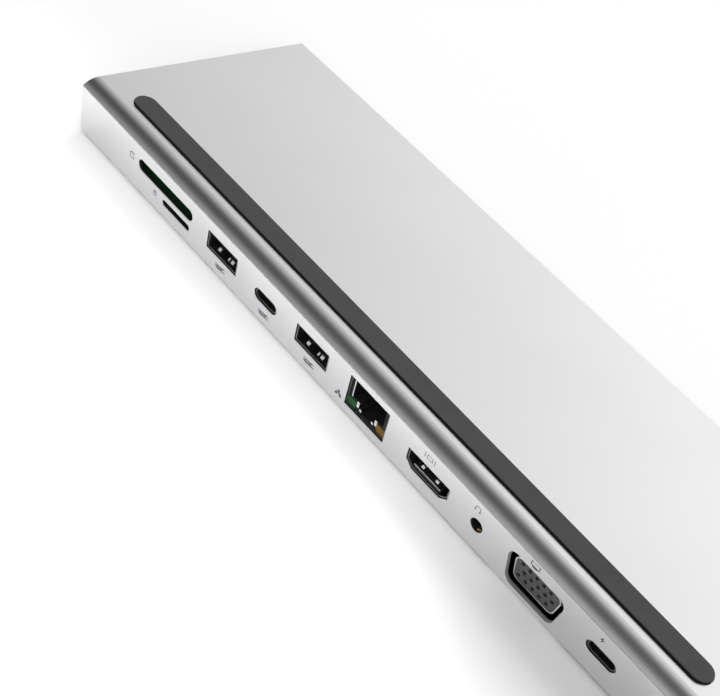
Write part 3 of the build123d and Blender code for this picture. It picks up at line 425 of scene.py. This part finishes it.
# Painted glints in the RJ45 socket: near-white bars.
GLINT_DEPTHS = (0.78, 0.91)
SIDE_GLINT = (3.15, 3.95)
SIDE_GLINT_RISES = (1.3, 3.3)
STEP_GLINT = (2.0, 2.75)
STEP_GLINT_RISES = (0.7, 1.5)
WALL_GLINT = (-6.28, -6.0)
WALL_GLINT_START = 3.2
WALL_GLINT_HEADROOM = 0.5

LEAF_SECTION = ((1.78, 0.7), (1.62, 0.9), (1.62, 2.2), (1.78, 2.2))  # (radius in the bore, depth)
LEAF_START = -80
LEAF_SWEEP = 50
LEAF_STEPS = 8

COIL_WIRE = 0.08 * MM
COIL_TURNS = 7
COIL_STEPS = 24

# Place of the painted shadow along the panel seam.
SEAM_INSET = 3.0
SEAM_DEPTHS = (-0.012, 0.1)
SEAM_RISES = (-0.10, 0.02)


def place_piece(name, mesh):
    """Put a finished mesh into the scene as a piece of the dock."""
    piece = link_object(name, mesh)
    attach(piece, "dock")
    return piece


def add_piece(name, form, finish):
    """Place a finished bmesh as a piece of the dock."""
    bmesh.ops.recalc_face_normals(form, faces=form.faces)
    mesh = bpy.data.meshes.new(name)
    form.to_mesh(mesh)
    form.free()
    mesh.materials.append(finish)
    place_piece(name, mesh)


def mesh_of_curve(name, curve, finish):
    """Mesh of a curve, in one finish."""
    shaped = bpy.data.objects.new(f"{name}_line", curve)
    mesh = bpy.data.meshes.new_from_object(shaped)
    bpy.data.objects.remove(shaped)
    mesh.materials.clear()
    mesh.materials.append(finish)
    return mesh


def middle_x(node):
    low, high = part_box(node)
    return (low[0] + high[0]) / 2


def sweep_section(form, rows):
    """Skin a list of four-point cross-sections and cap both ends."""
    rings = [[form.verts.new(point) for point in row] for row in rows]
    for first, second in zip(rings, rings[1:]):
        for index in range(4):
            after = (index + 1) % 4
            form.faces.new((first[index], first[after], second[after], second[index]))
    form.faces.new(rings[0][::-1])
    form.faces.new(rings[-1])


def spring(form, x, base, width, path):
    """Bent sheet along a path of (depth, rise) points, from an x and a base height in metres."""
    rows = []
    for index, point in enumerate(path):
        before = Vector(path[max(index - 1, 0)])
        after = Vector(path[min(index + 1, len(path) - 1)])
        run = (after - before).normalized()
        row = []
        for side, lift in CORNERS:
            depth = point[0] - run.y * lift * SHEET / 2
            rise = point[1] + run.x * lift * SHEET / 2
            row.append((x + side * width / 2 * MM, FACE_Y + depth * MM, base + rise * MM))
        rows.append(row)
    sweep_section(form, rows)


def bar(form, origin, sides, depths, rises):
    """Plain bar between two distances sideways, two depths and two rises, about an (x, z) in metres."""
    front, back = (FACE_Y + depth * MM for depth in depths)
    low, high = (origin[1] + rise * MM for rise in rises)
    rows = []
    for side in sides:
        x = origin[0] + side * MM
        rows.append([(x, front, low), (x, back, low), (x, back, high), (x, front, high)])
    sweep_section(form, rows)


def socket_springs():
    """Sprung tongues of sheet that grip a plug, raised inside the USB-A and HDMI sockets, in a near-white
    steel that paints their glints.
    """
    form = bmesh.new()
    for node in ("usb_a_left_shell", "usb_a_right_shell"):
        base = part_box(node)[0][2] + SHELL_WALL
        for offset, width in USB_SPRING_PLACES:
            spring(form, middle_x(node) + offset * MM, base, width, USB_SPRING)
    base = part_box("hdmi_contacts")[1][2]
    for side in SIDES:
        x = middle_x("hdmi_shell") + side * HDMI_SPRING_OFFSET * MM
        spring(form, x, base, HDMI_SPRING_WIDTH, HDMI_SPRING)
    add_piece("socket_springs", form, GLINT_STEEL)


def hdmi_tongue_edge():
    """Near-white bar on the HDMI tongue's leading edge, a painted highlight, and the comb of ribs moulded
    under it.
    """
    origin = (middle_x("hdmi_tongue"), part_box("hdmi_contacts")[1][2] - TONGUE_DROP)
    form = bmesh.new()
    bar(form, origin, (-TONGUE_EDGE_HALF, TONGUE_EDGE_HALF), TONGUE_EDGE_DEPTHS, TONGUE_EDGE_RISES)
    add_piece("hdmi_tongue_edge", form, GLINT_STEEL)
    form = bmesh.new()
    for index in range(RIBS):
        middle = (index - RIBS // 2) * RIB_PITCH
        bar(form, origin, (middle - RIB_HALF, middle + RIB_HALF), RIB_DEPTHS, RIB_RISES)
    add_piece("hdmi_tongue_ribs", form, INSULATOR)


def rj45_glints():
    """Near-white bars painting glints beside the light pipes, at the steps of the latch notch and at the left
    wall.
    """
    low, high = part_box("rj45_housing")
    origin = (middle_x("rj45_housing"), low[2])
    form = bmesh.new()
    for side in SIDES:
        for reach, rises in ((SIDE_GLINT, SIDE_GLINT_RISES), (STEP_GLINT, STEP_GLINT_RISES)):
            bar(form, origin, sorted(side * distance for distance in reach), GLINT_DEPTHS, rises)
    top = (high[2] - low[2]) / MM - WALL_GLINT_HEADROOM
    bar(form, origin, WALL_GLINT, GLINT_DEPTHS, (WALL_GLINT_START, top))
    add_piece("rj45_glints", form, GLINT_STEEL)


def jack_leaf():
    """Gold leaf contact curving round the lower right of the jack bore."""
    low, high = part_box("audio_body")
    centre = (low[2] + high[2]) / 2
    rows = []
    for index in range(LEAF_STEPS + 1):
        angle = math.radians(LEAF_START + LEAF_SWEEP * index / LEAF_STEPS)
        row = []
        for radius, depth in LEAF_SECTION:
            x = middle_x("audio_body") + radius * math.cos(angle) * MM
            z = centre + radius * math.sin(angle) * MM
            row.append((x, FACE_Y + depth * MM, z))
        rows.append(row)
    form = bmesh.new()
    sweep_section(form, rows)
    add_piece("jack_leaf", form, FINISHES["gold"])


def return_spring():
    """Coil behind the microSD slider, at its rest length, in place of the CAD spring that it hides."""
    low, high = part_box("tf_spring")
    radius = (high[0] - low[0]) / 2 - COIL_WIRE
    length = high[1] - low[1] - 2 * COIL_WIRE
    start = Vector((middle_x("tf_spring"), low[1] + COIL_WIRE, (low[2] + high[2]) / 2))
    curve = bpy.data.curves.new("return_spring", "CURVE")
    curve.dimensions = "3D"
    curve.bevel_depth = COIL_WIRE
    curve.bevel_resolution = 2
    curve.use_fill_caps = True
    spline = curve.splines.new("POLY")
    spline.points.add(COIL_TURNS * COIL_STEPS)
    for index, point in enumerate(spline.points):
        share = index / (COIL_TURNS * COIL_STEPS)
        angle = math.tau * COIL_TURNS * share
        offset = Vector((radius * math.cos(angle), length * share, radius * math.sin(angle)))
        point.co = (*(start + offset), 1.0)
    mesh = mesh_of_curve("return_spring", curve, FINISHES["spring_steel"])
    coil = place_piece("return_spring", mesh)
    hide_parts("tf_spring")
    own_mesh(coil)


def panel_seam_shadow():
    """Painted shadow: a dark hairline bar where the port panel meets the shell."""
    low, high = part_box("port_panel")
    reach = (high[0] - low[0]) / 2 / MM - SEAM_INSET
    form = bmesh.new()
    bar(form, (middle_x("port_panel"), high[2]), (-reach, reach), SEAM_DEPTHS, SEAM_RISES)
    add_piece("panel_seam_shadow", form, INSULATOR)


# ================= printed marks =================
# Outlines are millimetres on the port face, about the middle of their mark.
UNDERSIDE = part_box("port_panel")[0][2]
PRINT_THICKNESS = 0.02 * MM
PRINT_SINK = 0.004 * MM
STROKE = 0.24
THIN_STROKE = 0.16
LEAST_TURN = 0.5
RING_GROWTH = 1.25


def arc(centre, radius, start, end, steps):
    """Points of an arc in degrees."""
    points = []
    for index in range(steps + 1):
        angle = math.radians(start + (end - start) * index / steps)
        points.append((centre[0] + radius * math.cos(angle), centre[1] + radius * math.sin(angle)))
    return points


def pen(points, width=STROKE):
    """Closed outline of a line drawn along points with a pen of the given width."""
    sides = ([], [])
    for index, point in enumerate(points):
        before = points[max(index - 1, 0)]
        after = points[min(index + 1, len(points) - 1)]
        run = Vector((after[0] - before[0], after[1] - before[1])).normalized()
        first = Vector((point[0] - before[0], point[1] - before[1]))
        stretch = 1.0
        if first.length > 0 and index < len(points) - 1:
            stretch = 1.0 / max(LEAST_TURN, abs(run.dot(first.normalized())))
        for side, sign in zip(sides, (1, -1)):
            offset = width / 2 * sign * stretch
            side.append((point[0] - run.y * offset, point[1] + run.x * offset))
    return sides[0] + sides[1][::-1]


def ring(points, width=STROKE):
    """Outline and hole of a convex closed shape drawn with a pen."""
    middle = Vector((sum(p[0] for p in points), sum(p[1] for p in points))) / len(points)
    inner = []
    for point in points:
        reach = Vector(point) - middle
        inner.append(tuple(middle + reach * (1 - width / reach.length * RING_GROWTH)))
    return [points, inner]


def rectangle(x0, z0, x1, z1):
    return [(x0, z0), (x1, z0), (x1, z1), (x0, z1)]


def printed_mark(name, outlines, x, z):
    """Ink on the port face: closed outlines about a place in metres."""
    curve = bpy.data.curves.new(name, "CURVE")
    curve.dimensions = "2D"
    curve.fill_mode = "BOTH"
    curve.extrude = PRINT_THICKNESS / 2
    for outline in outlines:
        spline = curve.splines.new("POLY")
        spline.points.add(len(outline) - 1)
        spline.use_cyclic_u = True
        for target, (u, v) in zip(spline.points, outline):
            target.co = (u * MM, v * MM, 0.0, 1.0)
    mesh = mesh_of_curve(name, curve, INK)
    mesh.transform(Euler((math.pi / 2, 0, 0)).to_matrix().to_4x4())
    place = Vector((x, FACE_Y - PRINT_THICKNESS / 2 + PRINT_SINK, z))
    for vertex in mesh.vertices:
        vertex.co += place
    place_piece(name, mesh)


def card_mark(width, height, notch):
    """Memory card with one clipped corner and two contact ticks."""
    w, h = width / 2, height / 2
    body = [(-w, -h), (w, -h), (w, h), (-w + notch, h), (-w, h - notch)]
    ticks = [rectangle(t - 0.1, h - 0.95, t + 0.1, h - 0.4) for t in (-w + notch + 0.2, w - 0.5)]
    return ring(body) + ticks


def data_mark():
    """Pair of opposed arrows: data in and out."""
    outlines = []
    for sign in (1, -1):
        shaft = [(-2.2 * sign, 0.42 * sign), (1.2 * sign, 0.42 * sign)]
        head = [(1.1 * sign, 0.95 * sign), (2.4 * sign, 0.42 * sign), (1.1 * sign, -0.1 * sign)]
        outlines += [pen(shaft), head]
    return outlines


def network_mark():
    """Three boxes joined by lines."""
    outlines = [rectangle(-0.45, 0.3, 0.45, 1.05)]
    for u in (-0.85, 0.85):
        outlines.append(rectangle(u - 0.4, -1.05, u + 0.4, -0.35))
        outlines.append(pen([(u, -0.35), (u, 0.0)], THIN_STROKE))
    outlines.append(pen([(-0.93, 0.0), (0.93, 0.0)], THIN_STROKE))
    outlines.append(pen([(0.0, 0.0), (0.0, 0.3)], THIN_STROKE))
    return outlines


def screen_mark():
    """Display between two bars."""
    bars = [pen([(u, -0.95), (u, 0.95)], 0.2) for u in (-1.8, 1.8)]
    return ring(rectangle(-1.05, -0.75, 1.05, 0.75), 0.2) + bars


def monitor_mark():
    """Display on a stand."""
    stand = [pen([(0.0, -0.45), (0.0, -0.85)], 0.3), pen([(-0.8, -0.9), (0.8, -0.9)], 0.22)]
    return ring(rectangle(-1.5, -0.5, 1.5, 0.95)) + stand


def headphone_mark():
    """Headband with two ear cups."""
    band = pen(arc((0.0, 0.0), 0.85, -25, 205, 20), 0.22)
    cups = [arc((u, -0.55), 0.3, 0, 360, 10)[:-1] for u in (-0.8, 0.8)]
    return [band] + cups


def power_mark():
    """Jagged bolt."""
    return [[(0.25, 1.1), (-0.65, -0.15), (-0.05, -0.15), (-0.25, -1.1), (0.65, 0.2), (0.05, 0.2)]]


def place_marks():
    """Each mark by its own socket: sideways from the socket's middle and up from the panel's lower edge."""
    for name, outlines, socket, offset, height in (
        ("sd_card_mark", card_mark(1.9, 2.4, 0.6), "sd_shell", -16.3, 10.2),
        ("microsd_card_mark", card_mark(1.4, 1.8, 0.5), "tf_shell", -11.1, 5.5),
        ("left_data_mark", data_mark(), "usb_a_left_shell", 0.25, 3.3),
        ("middle_data_mark", data_mark(), "usb_c_data_shell", 0.3, 3.3),
        ("right_data_mark", data_mark(), "usb_a_right_shell", 0.3, 3.3),
        ("network_mark", network_mark(), "rj45_shield", -10.3, 3.95),
        ("screen_mark", screen_mark(), "hdmi_shell", -0.75, 13.3),
        ("headphone_mark", headphone_mark(), "audio_body", -1.15, 13.3),
        ("monitor_mark", monitor_mark(), "vga_shell", -1.6, 14.2),
        ("power_mark", power_mark(), "usb_c_power_shell", -1.5, 13.2),
    ):
        printed_mark(name, outlines, middle_x(socket) + offset * MM, UNDERSIDE + height * MM)


# ================= studio =================
FLOOR_HALF = 6.0
FLOOR_TONES = [(0.3, grey(0.90)), (0.7, grey(0.92))]
FILL_HEIGHT = 0.05
BACKDROP = grey(0.90)
# (share of the turn from the front horizon over the top to the back one, brightness)
DOME = [
    (0.00, 0.50),
    (0.14, 0.65),
    (0.28, 0.98),
    (0.38, 0.46),
    (0.46, 0.16),
    (0.53, 0.09),
    (0.60, 0.08),
    (0.68, 0.38),
    (0.76, 1.05),
    (0.83, 1.45),
    (0.90, 1.75),
    (1.00, 1.75),
]
DOME_SLANT = 0.6  # how much brighter the right end is than the middle


def add_floor():
    form = bmesh.new()
    bmesh.ops.create_grid(form, x_segments=1, y_segments=1, size=FLOOR_HALF)
    mesh = bpy.data.meshes.new("floor")
    form.to_mesh(mesh)
    form.free()
    recipe = Recipe("floor_white")
    recipe.colour(recipe.noise(3.0, 3.0), FLOOR_TONES)
    recipe.set("Roughness", 0.9)
    mesh.materials.append(recipe.material)
    link_object("floor", mesh)


def add_light(name, place, aim, size, power, spread=180):
    """Rectangular soft light that neither the camera nor a reflection sees, with its spread in degrees."""
    data = bpy.data.lights.new(name, "AREA")
    data.shape = "RECTANGLE"
    data.size, data.size_y = size
    data.energy = power
    data.spread = math.radians(spread)
    light = link_object(name, data)
    light.location = place
    light.rotation_euler = (Vector(aim) - Vector(place)).to_track_quat("-Z", "Y").to_euler()
    light.visible_glossy = False
    light.visible_camera = False


def add_lights():
    """Two softboxes on the dock, and two low fills straight down on the floor that the port face reflects."""
    add_light("overhead_softbox", (0.0, -0.1, 1.5), ORIGIN, (2.4, 2.4), 9.0)
    add_light("back_softbox", (0.2, 1.2, 1.3), ORIGIN, (1.2, 1.2), 14.0)
    for name, x, y, size, power, spread in (
        ("face_fill", -0.065, -0.078, (0.23, 0.03), 0.041, 120),
        ("front_fill", 0.095, -0.155, (0.32, 0.12), 0.24, 80),
    ):
        add_light(name, (x, y, FILL_HEIGHT), (x, y, 0.0), size, power, spread)


def set_world():
    """Studio dome, bright behind and in front, with a dark gap overhead that the rounded crest reflects.

    The camera sees a plain pale backdrop in place of the dome.
    """
    world = bpy.data.worlds.new("studio")
    world.use_nodes = True
    tree = world.node_tree
    split = tree.nodes.new("ShaderNodeSeparateXYZ")
    tree.links.new(tree.nodes.new("ShaderNodeTexCoord").outputs["Generated"], split.inputs["Vector"])

    def math_node(operation, first, second):
        node = tree.nodes.new("ShaderNodeMath")
        node.operation = operation
        for socket, value in zip(node.inputs, (first, second)):
            if isinstance(value, float):
                socket.default_value = value
            else:
                tree.links.new(value, socket)
        return node.outputs["Value"]

    front = math_node("MULTIPLY", split.outputs["Y"], -1.0)
    turn = math_node("DIVIDE", math_node("ARCTAN2", split.outputs["Z"], front), math.pi)
    ramp = tree.nodes.new("ShaderNodeValToRGB")
    fill_ramp(ramp, [(position, grey(level)) for position, level in DOME])
    tree.links.new(turn, ramp.inputs["Fac"])
    strength = math_node("ADD", math_node("MULTIPLY", split.outputs["X"], DOME_SLANT), 1.0)
    dome = tree.nodes["Background"]
    tree.links.new(ramp.outputs["Color"], dome.inputs["Color"])
    tree.links.new(strength, dome.inputs["Strength"])
    backdrop = tree.nodes.new("ShaderNodeBackground")
    backdrop.inputs["Color"].default_value = (*BACKDROP, 1.0)
    choice = tree.nodes.new("ShaderNodeMixShader")
    tree.links.new(tree.nodes.new("ShaderNodeLightPath").outputs["Is Camera Ray"], choice.inputs["Fac"])
    tree.links.new(dome.outputs["Background"], choice.inputs[1])
    tree.links.new(backdrop.outputs["Background"], choice.inputs[2])
    tree.links.new(choice.outputs["Shader"], tree.nodes["World Output"].inputs["Surface"])
    bpy.context.scene.world = world


add_camera()
add_floor()
set_world()
add_lights()
dress_nodes()
socket_springs()
hdmi_tongue_edge()
rj45_glints()
jack_leaf()
return_spring()
panel_seam_shadow()
place_marks()
bpy.context.scene.view_settings.view_transform = "Standard"
